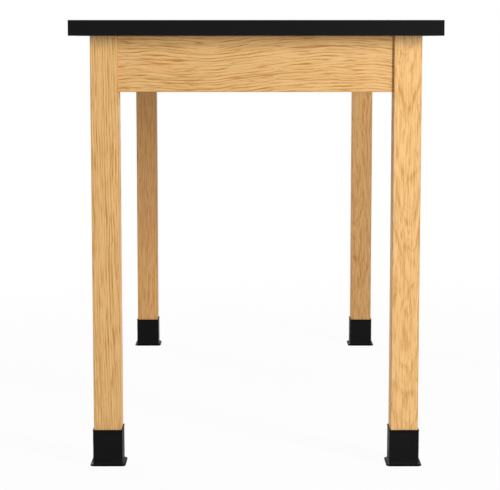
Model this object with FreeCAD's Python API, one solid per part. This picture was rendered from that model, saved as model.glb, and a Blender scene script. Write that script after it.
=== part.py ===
import FreeCAD, Part
import math
import os

# Science lab table: a black worktop on an oak frame with four legs, leg boots and levellers.
# Lengths are in millimetres. The origin is on the floor under the middle of the table,
# with +X across its width, +Y along its length and +Z up. Front is the end towards -Y.

# Worktop
top_length = 1524.0
top_width = 762.0
top_thickness = 31.75
top_sheet_thickness = 1.2
backer_thickness = 0.8
band_thickness = 3.0
top_edge_radius = 0.8
top_corner_radius = 1.2

# Oak frame
side_overhang = 42.0          # worktop edge to leg, along the sides
end_overhang = 25.4           # worktop edge to leg, at the two ends
leg_section = 57.15
leg_length = 882.65
leg_edge_radius = 1.0
leg_end_chamfer = 0.8
leg_flat = 14.0               # how much of the inner corner is planed off for the bolts
leg_flat_length = 112.0
apron_height = 114.3
apron_thickness = 19.05
apron_setback = 4.8           # apron face behind leg face
apron_edge_radius = 0.8

# Corner brackets of bent steel
bracket_thickness = 2.7
bracket_height = 76.2
bracket_gap = 10.0            # drawing-up room between the leg and the plate
bracket_flange = 30.0
bracket_lip = 6.0
bracket_bend_radius = 1.0
lip_clearance = 0.3

# Hanger bolts with their washers and nuts
bolt_diameter = 7.94
bolt_embed = 35.0
bolt_tail = 6.0
bolt_spacing = 40.0
bolt_tip_length = 6.0
bolt_hole_clearance = 0.5     # all round, in the bracket
wood_clearance = 0.15         # all round a bolt or screw, in wood
washer_diameter = 19.0
washer_thickness = 1.6
nut_height = 6.8
nut_across_flats = 12.7

# Wood screws in the bracket flanges
bracket_screw_diameter = 4.8
bracket_screw_length = 17.0
bracket_screw_spacing = 50.0
screw_head_diameter = 9.2
screw_head_height = 2.9
screw_head_radius = 1.0
screw_tip_length = 4.0
recess_width = 1.1
recess_span = 5.0
recess_depth = 1.6
screw_hole_clearance = 0.25   # all round, in sheet steel

# Table-top clips, hooked in a saw kerf along each apron
clip_thickness = 1.6
clip_width = 22.0
clip_tongue = 8.0
clip_stand_off = 2.0
clip_pad = 22.0
clip_bend_radius = 0.6
clip_screw_diameter = 4.2
clip_screw_length = 20.0
clips_per_side = 4
clips_per_end = 2
kerf_drop = 12.0              # worktop underside to the upper cheek of the kerf
kerf_height = 3.2
kerf_end_clearance = 1.5

# Levellers
pad_diameter = 38.1
pad_thickness = 3.0
pad_rim_height = 1.4
pad_rim_thickness = 1.3
foot_height = 3.6
foot_shoulder_diameter = 20.0
foot_clearance = 0.1
hex_height = 4.6
hex_across_flats = 14.3
stem_diameter = 9.525
stem_length = 45.0
stem_chamfer = 0.9
neck_diameter = 8.0
rivet_diameter = 14.0
rivet_thickness = 1.6
swivel_clearance = 0.08
tee_flange_diameter = 24.0
tee_flange_thickness = 1.5
tee_barrel_diameter = 12.4
tee_barrel_length = 11.0
tee_prong_width = 4.5
tee_prong_height = 7.0
tee_prong_thickness = 1.3
tee_prongs = 4
thread_clearance = 0.06
leg_bore_clearance = 0.9
leg_bore_spare = 6.0

# Leg boots
boot_height = 76.2
boot_wall = 1.9
boot_clearance = 0.3
boot_bore_radius = 1.2
boot_corner_radius = 1.2
boot_rim_height = 2.4
boot_rim_step = 0.5
boot_flange_reach = 6.2
boot_flange_thickness = 3.2
boot_flange_corner_radius = 9.2
boot_flange_edge_radius = 1.4  # of its upper rim
boot_foot_edge_radius = 0.5    # of its lower rim, on the floor
boot_fillet_radius = 3.0      # between the sleeve and the flange

# How far a cutting shape runs past the face that it opens
overrun = 2.0

# How near two places count as the same, and two directions as parallel
same_place = 1e-6
parallel_share = 0.99

# Places that follow from the sizes
half_width = top_width / 2
half_length = top_length / 2
frame_left = -half_width + side_overhang
frame_front = -half_length + end_overhang
foot_top = pad_thickness + foot_height
hex_top = foot_top + hex_height
leg_bottom = hex_top + tee_flange_thickness
top_underside = leg_bottom + leg_length
top_surface = top_underside + top_thickness
apron_bottom = top_underside - apron_height
apron_middle = top_underside - apron_height / 2
apron_inner = apron_setback + apron_thickness
leg_middle_x = frame_left + leg_section / 2
leg_middle_y = frame_front + leg_section / 2
diagonal = math.sqrt(2)
flat_line = 2 * leg_section - leg_flat
plate_line = flat_line + bracket_gap * diagonal
bracket_turn = plate_line - apron_inner
bracket_reach = bracket_turn + bracket_flange

corners = {
    "front_left": (-1, -1),
    "front_right": (1, -1),
    "rear_left": (-1, 1),
    "rear_right": (1, 1),
}


def vector(x, y, z):
    return FreeCAD.Vector(x, y, z)


origin = vector(0, 0, 0)
along_x = vector(1, 0, 0)
along_y = vector(0, 1, 0)
up = vector(0, 0, 1)
into_bay = vector(1, 1, 0).normalize()      # from the front left leg towards the table's middle


def block(low, high):
    """A box between two opposite corners."""
    size = vector(*high) - vector(*low)
    return Part.makeBox(size.x, size.y, size.z, vector(*low))


def rod(diameter, length, place, direction=up):
    return Part.makeCylinder(diameter / 2, length, place, direction)


def upright_edges(shape):
    return [edge for edge in shape.Edges if abs(edge.tangentAt(edge.FirstParameter).z) > parallel_share]


def edges_at_height(shape, height):
    """Edges that lie wholly at one height."""
    found = []
    for edge in shape.Edges:
        bounds = edge.BoundBox
        if abs(bounds.ZMin - height) < same_place and abs(bounds.ZMax - height) < same_place:
            found.append(edge)
    return found


def mirrored(shape, corner):
    """A shape made for the front left corner, carried to another corner."""
    side_x, side_y = corners[corner]
    if side_x > 0:
        shape = shape.mirror(origin, along_x)
    if side_y > 0:
        shape = shape.mirror(origin, along_y)
    return shape


def at_every_corner(shapes):
    return [mirrored(shape, corner) for shape in shapes for corner in corners]


def hexagon(across_flats, height, place, direction=up):
    """A hexagonal prism whose axis runs from place along direction."""
    radius = across_flats / math.sqrt(3)
    points = []
    for turn in range(7):
        angle = math.radians(60 * turn)
        points.append(vector(radius * math.cos(angle), radius * math.sin(angle), 0))
    prism = Part.Face(Part.makePolygon(points)).extrude(up * height)
    prism.Placement = FreeCAD.Placement(place, FreeCAD.Rotation(up, direction))
    return prism


def bent_strip(points, thickness, width_vector, bend_radius):
    """Sheet bent along a path of plane points, thickened to the right of its travel."""
    normal = FreeCAD.Vector(width_vector).normalize()
    runs = []
    for start, end in zip(points, points[1:]):
        runs.append((end - start).normalize())
    sides = [run.cross(normal) for run in runs]
    shifted = [points[0] + sides[0] * thickness]
    for index in range(1, len(points) - 1):
        mitre = sides[index - 1] + sides[index]
        mitre = mitre * (2 / mitre.dot(mitre))
        shifted.append(points[index] + mitre * thickness)
    shifted.append(points[-1] + sides[-1] * thickness)
    outline = points + shifted[::-1] + [points[0]]
    strip = Part.Face(Part.makePolygon(outline)).extrude(width_vector)
    bends = points[1:-1] + shifted[1:-1]
    folds = []
    for edge in strip.Edges:
        ends = [vertex.Point for vertex in edge.Vertexes]
        across = abs(edge.tangentAt(edge.FirstParameter).dot(normal)) > parallel_share
        if across and any(bend.distanceToPoint(end) < same_place for bend in bends for end in ends):
            folds.append(edge)
    return strip.makeFillet(bend_radius, folds)


def wood_screw(diameter, length, seat, direction):
    """A pan-head screw whose head bears on seat and whose point looks along direction."""
    head = rod(screw_head_diameter, screw_head_height, vector(0, 0, -screw_head_height))
    head = head.makeFillet(screw_head_radius, edges_at_height(head, -screw_head_height))
    for turn in (0, 90):
        slot = Part.makeBox(recess_span, recess_width, recess_depth + overrun)
        slot.translate(vector(-recess_span / 2, -recess_width / 2, -screw_head_height - overrun))
        slot.rotate(origin, up, turn)
        head = head.cut(slot)
    shank = rod(diameter, length - screw_tip_length, origin)
    tip = Part.makeCone(diameter / 2, 0, screw_tip_length, vector(0, 0, length - screw_tip_length))
    screw = head.fuse([shank, tip]).removeSplitter()
    screw.Placement = FreeCAD.Placement(seat, FreeCAD.Rotation(up, direction))
    return screw


def diagonal_place(distance, height):
    """A point that far in from the frame's front left corner, on the corner's diagonal."""
    step = distance / diagonal
    return vector(frame_left + step, frame_front + step, height)


def bracket_bolt_heights():
    return [apron_middle + bolt_spacing * share for share in (-0.5, 0.5)]


def bracket_screw_seats():
    """Where the front left bracket's screw heads bear, and the way that each screw points."""
    middle = bracket_turn + bracket_flange / 2
    depth = apron_inner + bracket_thickness
    seats = []
    for share in (-0.5, 0.5):
        height = apron_middle + bracket_screw_spacing * share
        seats.append((vector(frame_left + middle, frame_front + depth, height), -along_y))
        seats.append((vector(frame_left + depth, frame_front + middle, height), -along_x))
    return seats


def make_bracket():
    """The front left corner's plate, with its flanges on the aprons and its lips in their kerfs."""
    path = [
        (bracket_reach, apron_inner - bracket_lip),
        (bracket_reach, apron_inner),
        (bracket_turn, apron_inner),
        (apron_inner, bracket_turn),
        (apron_inner, bracket_reach),
        (apron_inner - bracket_lip, bracket_reach),
    ]
    low = apron_middle - bracket_height / 2
    points = [vector(frame_left + x, frame_front + y, low) for x, y in path]
    bracket = bent_strip(points, bracket_thickness, up * bracket_height, bracket_bend_radius)
    for height in bracket_bolt_heights():
        start = diagonal_place(plate_line / diagonal - overrun, height)
        hole = rod(bolt_diameter + 2 * bolt_hole_clearance, bracket_thickness + 2 * overrun, start, into_bay)
        bracket = bracket.cut(hole)
    for seat, direction in bracket_screw_seats():
        start = seat - direction * overrun
        hole = rod(bracket_screw_diameter + 2 * screw_hole_clearance,
                   bracket_thickness + 2 * overrun, start, direction)
        bracket = bracket.cut(hole)
    return bracket


def make_bolt(height):
    """A hanger bolt, from its point in the leg to its tail beyond the nut."""
    start = flat_line / diagonal - bolt_embed
    tail_end = plate_line / diagonal + bracket_thickness + washer_thickness + nut_height + bolt_tail
    tip = Part.makeCone(0, bolt_diameter / 2, bolt_tip_length, diagonal_place(start, height), into_bay)
    body_start = start + bolt_tip_length
    body = rod(bolt_diameter, tail_end - body_start, diagonal_place(body_start, height), into_bay)
    return tip.fuse(body).removeSplitter()


def make_washer(height):
    start = plate_line / diagonal + bracket_thickness
    washer = rod(washer_diameter, washer_thickness, diagonal_place(start, height), into_bay)
    hole = rod(bolt_diameter + 2 * bolt_hole_clearance, washer_thickness + 2 * overrun,
               diagonal_place(start - overrun, height), into_bay)
    return washer.cut(hole)


def make_nut(height):
    start = plate_line / diagonal + bracket_thickness + washer_thickness
    nut = hexagon(nut_across_flats, nut_height, diagonal_place(start, height), into_bay)
    hole = rod(bolt_diameter + 2 * thread_clearance, nut_height + 2 * overrun,
               diagonal_place(start - overrun, height), into_bay)
    return nut.cut(hole)


def make_tee_nut():
    """A pronged nut pressed in the leg's end, with its flange below the wood."""
    low = vector(leg_middle_x, leg_middle_y, hex_top)
    nut = rod(tee_flange_diameter, tee_flange_thickness, low)
    nut = nut.fuse(rod(tee_barrel_diameter, tee_flange_thickness + tee_barrel_length, low))
    prong_centre = (tee_flange_diameter - tee_prong_thickness) / 2
    for turn in range(tee_prongs):
        prong = block((prong_centre - tee_prong_thickness, -tee_prong_width / 2, 0),
                      (prong_centre, tee_prong_width / 2, tee_flange_thickness + tee_prong_height))
        prong.rotate(origin, up, 360 / tee_prongs * (turn + 0.5))
        prong.translate(low)
        nut = nut.fuse(prong)
    bore = rod(stem_diameter + 2 * thread_clearance,
               tee_flange_thickness + tee_barrel_length + 2 * overrun, low - up * overrun)
    return nut.cut(bore).removeSplitter()


def make_leg(tee_nut):
    """The front left leg, with its planed inner corner, bolt holes and leveller bore."""
    low = (frame_left, frame_front, leg_bottom)
    high = (frame_left + leg_section, frame_front + leg_section, top_underside)
    leg = block(low, high)
    leg = leg.makeFillet(leg_edge_radius, upright_edges(leg))
    leg = leg.makeChamfer(leg_end_chamfer, edges_at_height(leg, leg_bottom))
    wedge_low = top_underside - leg_flat_length
    inner_x = frame_left + leg_section
    inner_y = frame_front + leg_section
    wedge = Part.Face(Part.makePolygon([
        vector(inner_x - leg_flat - overrun, inner_y + overrun, wedge_low),
        vector(inner_x + overrun, inner_y - leg_flat - overrun, wedge_low),
        vector(inner_x + overrun, inner_y + overrun, wedge_low),
        vector(inner_x - leg_flat - overrun, inner_y + overrun, wedge_low),
    ])).extrude(up * (leg_flat_length + overrun))
    leg = leg.cut(wedge)
    for height in bracket_bolt_heights():
        start = diagonal_place(flat_line / diagonal - bolt_embed, height)
        hole = rod(bolt_diameter + 2 * wood_clearance, bolt_embed + overrun, start, into_bay)
        leg = leg.cut(hole)
    mouth = vector(leg_middle_x, leg_middle_y, leg_bottom - overrun)
    barrel_hole = rod(tee_barrel_diameter + 2 * wood_clearance,
                      tee_barrel_length + wood_clearance + overrun, mouth)
    stem_hole = rod(stem_diameter + 2 * leg_bore_clearance, stem_length + leg_bore_spare + overrun, mouth)
    return leg.cut([barrel_hole, stem_hole, tee_nut])


def make_pad():
    """The plastic pad that stands on the floor and holds the foot in its rim."""
    place = vector(leg_middle_x, leg_middle_y, 0)
    pad = rod(pad_diameter, pad_thickness + pad_rim_height, place)
    pocket_diameter = pad_diameter - 2 * pad_rim_thickness
    return pad.cut(rod(pocket_diameter, pad_rim_height + overrun, place + up * pad_thickness))


def make_foot():
    """The steel foot: a low cone with a socket for the stem's riveted end."""
    place = vector(leg_middle_x, leg_middle_y, pad_thickness)
    base_diameter = pad_diameter - 2 * (pad_rim_thickness + foot_clearance)
    disc = rod(base_diameter, pad_rim_height, place)
    cone = Part.makeCone(base_diameter / 2, foot_shoulder_diameter / 2, foot_height - pad_rim_height,
                         place + up * pad_rim_height)
    socket = rod(rivet_diameter + 2 * swivel_clearance, rivet_thickness + swivel_clearance + overrun,
                 place - up * overrun)
    hole = rod(neck_diameter + 2 * swivel_clearance, foot_height + 2 * overrun, place - up * overrun)
    return disc.fuse(cone).cut([socket, hole])


def make_stem():
    """The leveller's screw, its hexagon and the riveted end that turns in the foot."""
    axis_low = vector(leg_middle_x, leg_middle_y, pad_thickness)
    rivet = rod(rivet_diameter, rivet_thickness, axis_low)
    neck = rod(neck_diameter, foot_height, axis_low)
    flats = hexagon(hex_across_flats, hex_height, vector(leg_middle_x, leg_middle_y, foot_top))
    screw = rod(stem_diameter, stem_length, vector(leg_middle_x, leg_middle_y, hex_top))
    screw = screw.makeChamfer(stem_chamfer, edges_at_height(screw, hex_top + stem_length))
    return rivet.fuse([neck, flats, screw]).removeSplitter()


def rounded_square(half, radius, height):
    """A closed square outline with round corners, about the front left leg's axis."""
    flat = half - radius
    edges = []
    for turn in range(4):
        angle = math.radians(90 * turn)
        ahead = vector(math.cos(angle), math.sin(angle), 0)
        left = vector(-math.sin(angle), math.cos(angle), 0)
        centre = vector(leg_middle_x, leg_middle_y, height) + (ahead + left) * flat
        middle = centre + (ahead + left) * (radius / diagonal)
        arc = Part.Arc(centre + ahead * radius, middle, centre + left * radius)
        start = centre + ahead * radius - left * (2 * flat)
        edges.append(Part.makeLine(start, centre + ahead * radius))
        edges.append(arc.toShape())
    return Part.Wire(edges)


def square_block(half, radius, low, height):
    """A square prism with round upright edges, about the front left leg's axis."""
    return Part.Face(rounded_square(half, radius, low)).extrude(up * height)


def reach_from_leg_axis(edge):
    """How far an edge lies from the front left leg's axis, along x or y."""
    bounds = edge.BoundBox
    sideways = [abs(place - leg_middle_x) for place in (bounds.XMin, bounds.XMax)]
    endways = [abs(place - leg_middle_y) for place in (bounds.YMin, bounds.YMax)]
    return max(sideways + endways)


def make_boot():
    """A pliable sleeve over the leg's end, open at both ends, with a flange round its foot."""
    bore_half = leg_section / 2 + boot_clearance
    wall_half = bore_half + boot_wall
    flange_half = wall_half + boot_flange_reach
    flange = square_block(flange_half, boot_flange_corner_radius, 0, boot_flange_thickness)
    flange = flange.makeFillet(boot_flange_edge_radius, edges_at_height(flange, boot_flange_thickness))
    flange = flange.makeFillet(boot_foot_edge_radius, edges_at_height(flange, 0))
    boot = flange.fuse(square_block(wall_half, boot_corner_radius, 0, boot_height))
    foot_joint = [edge for edge in edges_at_height(boot, boot_flange_thickness)
                  if reach_from_leg_axis(edge) < wall_half + same_place]
    boot = boot.makeFillet(boot_fillet_radius, foot_joint)
    rim_low = boot_height - boot_rim_height
    rim_profile = [(rim_low - boot_rim_step, 0), (rim_low, boot_rim_step), (boot_height, boot_rim_step)]
    rim = Part.makeLoft([rounded_square(wall_half + reach, boot_corner_radius, height)
                         for height, reach in rim_profile], True, True)
    bore = square_block(bore_half, boot_bore_radius, -overrun, boot_height + 2 * overrun)
    return boot.fuse(rim).cut(bore).removeSplitter()


def clip_seats():
    """The outer face's middle of each clip's pad, and the way from its apron into the bay."""
    side_clear = top_length - 2 * (end_overhang + bracket_reach + bracket_thickness)
    end_clear = top_width - 2 * (side_overhang + bracket_reach + bracket_thickness)
    seats = []
    for index in range(clips_per_side):
        place = ((index + 0.5) / clips_per_side - 0.5) * side_clear
        seats.append((vector(frame_left + apron_inner, place, top_underside), along_x))
        seats.append((vector(-frame_left - apron_inner, place, top_underside), -along_x))
    for index in range(clips_per_end):
        place = ((index + 0.5) / clips_per_end - 0.5) * end_clear
        seats.append((vector(place, frame_front + apron_inner, top_underside), along_y))
        seats.append((vector(place, -frame_front - apron_inner, top_underside), -along_y))
    return seats


def clip_screw_seat(seat, inward):
    """Where the screw's head bears under a clip's pad."""
    return seat + inward * (clip_stand_off + clip_thickness + clip_pad / 2) - up * clip_thickness


def make_clip(seat, inward):
    """A strip with its tongue in the apron's kerf and its pad under the worktop."""
    across = up.cross(inward)
    start = seat - across * (clip_width / 2)
    path = [
        (clip_stand_off + clip_thickness + clip_pad, 0),
        (clip_stand_off, 0),
        (clip_stand_off, -kerf_drop),
        (-clip_tongue, -kerf_drop),
    ]
    points = [start + inward * distance + up * height for distance, height in path]
    strip = bent_strip(points, clip_thickness, across * clip_width, clip_bend_radius)
    hole = rod(clip_screw_diameter + 2 * screw_hole_clearance, clip_thickness + 2 * overrun,
               clip_screw_seat(seat, inward) - up * overrun)
    return strip.cut(hole)


def make_worktop():
    """The worktop's layers and edge bands, by name."""
    slab = block((-half_width, -half_length, top_underside), (half_width, half_length, top_surface))
    slab = slab.makeFillet(top_corner_radius, upright_edges(slab))
    rims = edges_at_height(slab, top_underside) + edges_at_height(slab, top_surface)
    slab = slab.makeFillet(top_edge_radius, rims)
    inner_x = half_width - band_thickness
    inner_y = half_length - band_thickness
    core_low = top_underside + backer_thickness
    core_high = top_surface - top_sheet_thickness
    above = top_surface + overrun
    below = top_underside - overrun
    outer_x = half_width + overrun
    outer_y = half_length + overrun
    pieces = {
        "worktop_core": block((-inner_x, -inner_y, core_low), (inner_x, inner_y, core_high)),
        "worktop_top_sheet": block((-inner_x, -inner_y, core_high), (inner_x, inner_y, top_surface)),
        "worktop_backer": block((-inner_x, -inner_y, top_underside), (inner_x, inner_y, core_low)),
        "edge_band_left": slab.common(block((-outer_x, -outer_y, below), (-inner_x, outer_y, above))),
        "edge_band_right": slab.common(block((inner_x, -outer_y, below), (outer_x, outer_y, above))),
        "edge_band_front": slab.common(block((-inner_x, -outer_y, below), (inner_x, -inner_y, above))),
        "edge_band_rear": slab.common(block((-inner_x, inner_y, below), (inner_x, outer_y, above))),
    }
    holes = []
    for seat, inward in clip_seats():
        hole_depth = clip_screw_length - clip_thickness + wood_clearance
        place = clip_screw_seat(seat, inward)
        hole = rod(clip_screw_diameter + 2 * wood_clearance, hole_depth + clip_thickness, place)
        holes.append(hole)
    for name in ("worktop_core", "worktop_backer"):
        pieces[name] = pieces[name].cut(holes)
    return pieces


def long_edges(shape, height, direction):
    """Edges at one height that run along a direction."""
    found = []
    for edge in edges_at_height(shape, height):
        if abs(edge.tangentAt(edge.FirstParameter).dot(direction)) > parallel_share:
            found.append(edge)
    return found


def bracket_screw_holes():
    holes = []
    for seat, direction in bracket_screw_seats():
        hole = rod(bracket_screw_diameter + 2 * wood_clearance,
                   bracket_screw_length + wood_clearance, seat, direction)
        holes.append(hole)
    return holes


def make_side_apron():
    """The left apron, with a kerf along it for the clips and two down it for the brackets."""
    start = frame_front + leg_section
    face = frame_left + apron_inner
    board = block((frame_left + apron_setback, start, apron_bottom), (face, -start, top_underside))
    board = board.makeFillet(apron_edge_radius, long_edges(board, apron_bottom, along_y))
    kerf_top = top_underside - kerf_drop
    long_kerf = block((face - clip_tongue - kerf_end_clearance, start - overrun, kerf_top - kerf_height),
                      (face + overrun, overrun - start, kerf_top))
    lip_start = frame_front + bracket_reach - bracket_bend_radius - lip_clearance
    lip_end = frame_front + bracket_reach + bracket_thickness + lip_clearance
    lip_kerf = block((face - bracket_lip - lip_clearance, lip_start, apron_bottom - overrun),
                     (face + overrun, lip_end, top_underside + overrun))
    end_cuts = [lip_kerf] + bracket_screw_holes()
    other_end_cuts = [cut.mirror(origin, along_y) for cut in end_cuts]
    return board.cut([long_kerf] + end_cuts + other_end_cuts)


def make_end_apron():
    """The front apron, with a kerf along it for the clips and two down it for the brackets."""
    start = frame_left + leg_section
    face = frame_front + apron_inner
    board = block((start, frame_front + apron_setback, apron_bottom), (-start, face, top_underside))
    board = board.makeFillet(apron_edge_radius, long_edges(board, apron_bottom, along_x))
    kerf_top = top_underside - kerf_drop
    long_kerf = block((start - overrun, face - clip_tongue - kerf_end_clearance, kerf_top - kerf_height),
                      (overrun - start, face + overrun, kerf_top))
    lip_start = frame_left + bracket_reach - bracket_bend_radius - lip_clearance
    lip_end = frame_left + bracket_reach + bracket_thickness + lip_clearance
    lip_kerf = block((lip_start, face - bracket_lip - lip_clearance, apron_bottom - overrun),
                     (lip_end, face + overrun, top_underside + overrun))
    end_cuts = [lip_kerf] + bracket_screw_holes()
    other_end_cuts = [cut.mirror(origin, along_x) for cut in end_cuts]
    return board.cut([long_kerf] + end_cuts + other_end_cuts)


def make_parts():
    """Every node by name: one shape, or a list of separate solids."""
    parts = make_worktop()
    side_apron = make_side_apron()
    end_apron = make_end_apron()
    parts["side_apron_left"] = side_apron
    parts["side_apron_right"] = side_apron.mirror(origin, along_x)
    parts["end_apron_front"] = end_apron
    parts["end_apron_rear"] = end_apron.mirror(origin, along_y)
    tee_nut = make_tee_nut()
    per_corner = {
        "leg": make_leg(tee_nut),
        "corner_bracket": make_bracket(),
        "tee_nut": tee_nut,
        "leveller_stem": make_stem(),
        "leveller_foot": make_foot(),
        "leveller_pad": make_pad(),
        "leg_boot": make_boot(),
    }
    for corner in corners:
        for name, shape in per_corner.items():
            parts[name + "_" + corner] = mirrored(shape, corner)
    bolts = [make_bolt(height) for height in bracket_bolt_heights()]
    washers = [make_washer(height) for height in bracket_bolt_heights()]
    nuts = [make_nut(height) for height in bracket_bolt_heights()]
    bracket_screws = [wood_screw(bracket_screw_diameter, bracket_screw_length, seat, direction)
                      for seat, direction in bracket_screw_seats()]
    parts["hanger_bolts"] = at_every_corner(bolts)
    parts["bolt_washers"] = at_every_corner(washers)
    parts["bolt_nuts"] = at_every_corner(nuts)
    parts["bracket_screws"] = at_every_corner(bracket_screws)
    parts["top_clips"] = [make_clip(seat, inward) for seat, inward in clip_seats()]
    parts["clip_screws"] = [wood_screw(clip_screw_diameter, clip_screw_length,
                                       clip_screw_seat(seat, inward), up)
                            for seat, inward in clip_seats()]
    return parts


def write_parts():
    os.makedirs("parts", exist_ok=True)
    for name, shape in make_parts().items():
        if isinstance(shape, list):
            shape = Part.makeCompound(shape)
        shape.exportStep("parts/" + name + ".step")
        print(name, len(shape.Solids), "solids, volume", round(shape.Volume), "valid", shape.isValid())


write_parts()
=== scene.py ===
import math

import bmesh
import bpy
from mathutils import Matrix, Vector, noise


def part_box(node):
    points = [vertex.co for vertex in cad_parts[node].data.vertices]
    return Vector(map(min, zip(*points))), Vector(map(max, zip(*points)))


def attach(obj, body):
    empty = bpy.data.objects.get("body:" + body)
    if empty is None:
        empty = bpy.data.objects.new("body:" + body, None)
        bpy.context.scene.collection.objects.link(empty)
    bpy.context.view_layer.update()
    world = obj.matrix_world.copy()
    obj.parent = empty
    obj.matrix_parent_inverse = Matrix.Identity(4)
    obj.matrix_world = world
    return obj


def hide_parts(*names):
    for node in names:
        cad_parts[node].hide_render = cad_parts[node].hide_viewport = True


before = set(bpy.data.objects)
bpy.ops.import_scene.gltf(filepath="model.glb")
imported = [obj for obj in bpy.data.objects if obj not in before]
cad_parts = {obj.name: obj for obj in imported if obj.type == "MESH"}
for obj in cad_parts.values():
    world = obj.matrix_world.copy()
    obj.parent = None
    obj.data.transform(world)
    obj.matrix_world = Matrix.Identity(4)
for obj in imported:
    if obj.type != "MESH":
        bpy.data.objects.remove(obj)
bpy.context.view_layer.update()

# Science lab table: black worktop on an oak frame, with vinyl boots over its levellers.
# Metres, z up, front end towards -y.
scene = bpy.context.scene
corners = {"front_left": (-1, -1), "front_right": (1, -1), "rear_left": (-1, 1), "rear_right": (1, 1)}
mergeDistance = 0.000001
print("frame loaded:", len(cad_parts), "nodes")


# One shader output. Sums of wires and numbers add Math nodes, and add() makes every other node.
class Wire:
    def __init__(self, tree, socket=None):
        self.tree = tree
        self.socket = socket

    def add(self, kind, settings=None, values=None, out=0):
        node = self.tree.nodes.new(kind)
        for name, value in (settings or {}).items():
            if name == "stops":
                self.setStops(node.color_ramp, value)
            else:
                setattr(node, name, value)
        for name, value in (values or {}).items():
            if isinstance(value, Wire):
                self.tree.links.new(value.socket, node.inputs[name])
            else:
                node.inputs[name].default_value = value
        return Wire(self.tree, node.outputs[out] if len(node.outputs) else None)

    def setStops(self, ramp, stops):
        while len(ramp.elements) < len(stops):
            ramp.elements.new(0.5)
        for element, (place, shade) in zip(ramp.elements, stops):
            element.position = place
            element.color = (shade, shade, shade, 1.0)

    def math(self, operation, first, second=0.0, clamp=False):
        return self.add("ShaderNodeMath", {"operation": operation, "use_clamp": clamp}, {0: first, 1: second})

    def __add__(self, other):
        return self.math("ADD", self, other)

    def __radd__(self, other):
        return self.math("ADD", other, self)

    def __sub__(self, other):
        return self.math("SUBTRACT", self, other)

    def __rsub__(self, other):
        return self.math("SUBTRACT", other, self)

    def __mul__(self, other):
        return self.math("MULTIPLY", self, other)

    def __rmul__(self, other):
        return self.math("MULTIPLY", other, self)

    def __truediv__(self, other):
        return self.math("DIVIDE", self, other)

    def __rtruediv__(self, other):
        return self.math("DIVIDE", other, self)

    def __pow__(self, other):
        return self.math("POWER", self, other)

    def __abs__(self):
        return self.math("ABSOLUTE", self)

    def higher(self, other):
        return self.math("MAXIMUM", self, other)

    # 0 below low, 1 above high, smooth between
    def rise(self, low, high):
        return self.add("ShaderNodeMapRange", {"interpolation_type": "SMOOTHSTEP"},
                        {"Value": self, "From Min": low, "From Max": high})

    # 1 where this value is 0.5, falling to 0 this far from it
    def ridge(self, width):
        return 1.0 - abs(self - 0.5).rise(0.0, width)

    def ramp(self, stops):
        return self.add("ShaderNodeValToRGB", {"stops": stops}, {"Fac": self})

    # this vector's x, y and z
    def parts(self):
        node = self.add("ShaderNodeSeparateXYZ", {}, {"Vector": self}).socket.node
        return [Wire(self.tree, socket) for socket in node.outputs]

    def vectorMath(self, operation, second=(0.0, 0.0, 0.0), third=(0.0, 0.0, 0.0), out=0):
        return self.add("ShaderNodeVectorMath", {"operation": operation}, {0: self, 1: second, 2: third}, out)

    # noise on this vector, with its own pull along each axis
    def noise(self, pull, seed=0.0, detail=2.0, roughness=0.5, out=0):
        moved = self.vectorMath("MULTIPLY_ADD", pull, (seed, seed * 1.7, seed * 2.3))
        return self.add("ShaderNodeTexNoise", {}, {"Vector": moved, "Scale": 1.0, "Detail": detail,
                                                   "Roughness": roughness}, out)

    # a colour this far from first towards second: the Mix node's colours are its inputs 6 and 7
    def mix(self, first, second):
        return self.add("ShaderNodeMix", {"data_type": "RGBA"}, {"Factor": self, 6: first, 7: second}, 2)

    def bump(self, strength, distance):
        return self.add("ShaderNodeBump", {}, {"Height": self, "Strength": strength, "Distance": distance})


def colour(red, green, blue):
    return (red, green, blue, 1.0)


# a new material, a wire to add its nodes from, and the object coordinates that its patterns run on
def startMaterial(name):
    material = bpy.data.materials.new(name)
    material.use_nodes = True
    material.node_tree.nodes.clear()
    start = Wire(material.node_tree)
    return material, start, start.add("ShaderNodeTexCoord", out="Object")


def finishMaterial(start, shade, rough, normal, specular=0.5, metallic=0.0):
    values = {"Base Color": shade, "Roughness": rough, "Normal": normal,
              "Specular IOR Level": specular, "Metallic": metallic}
    start.add("ShaderNodeOutputMaterial", {}, {"Surface": start.add("ShaderNodeBsdfPrincipled", {}, values)})


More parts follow.
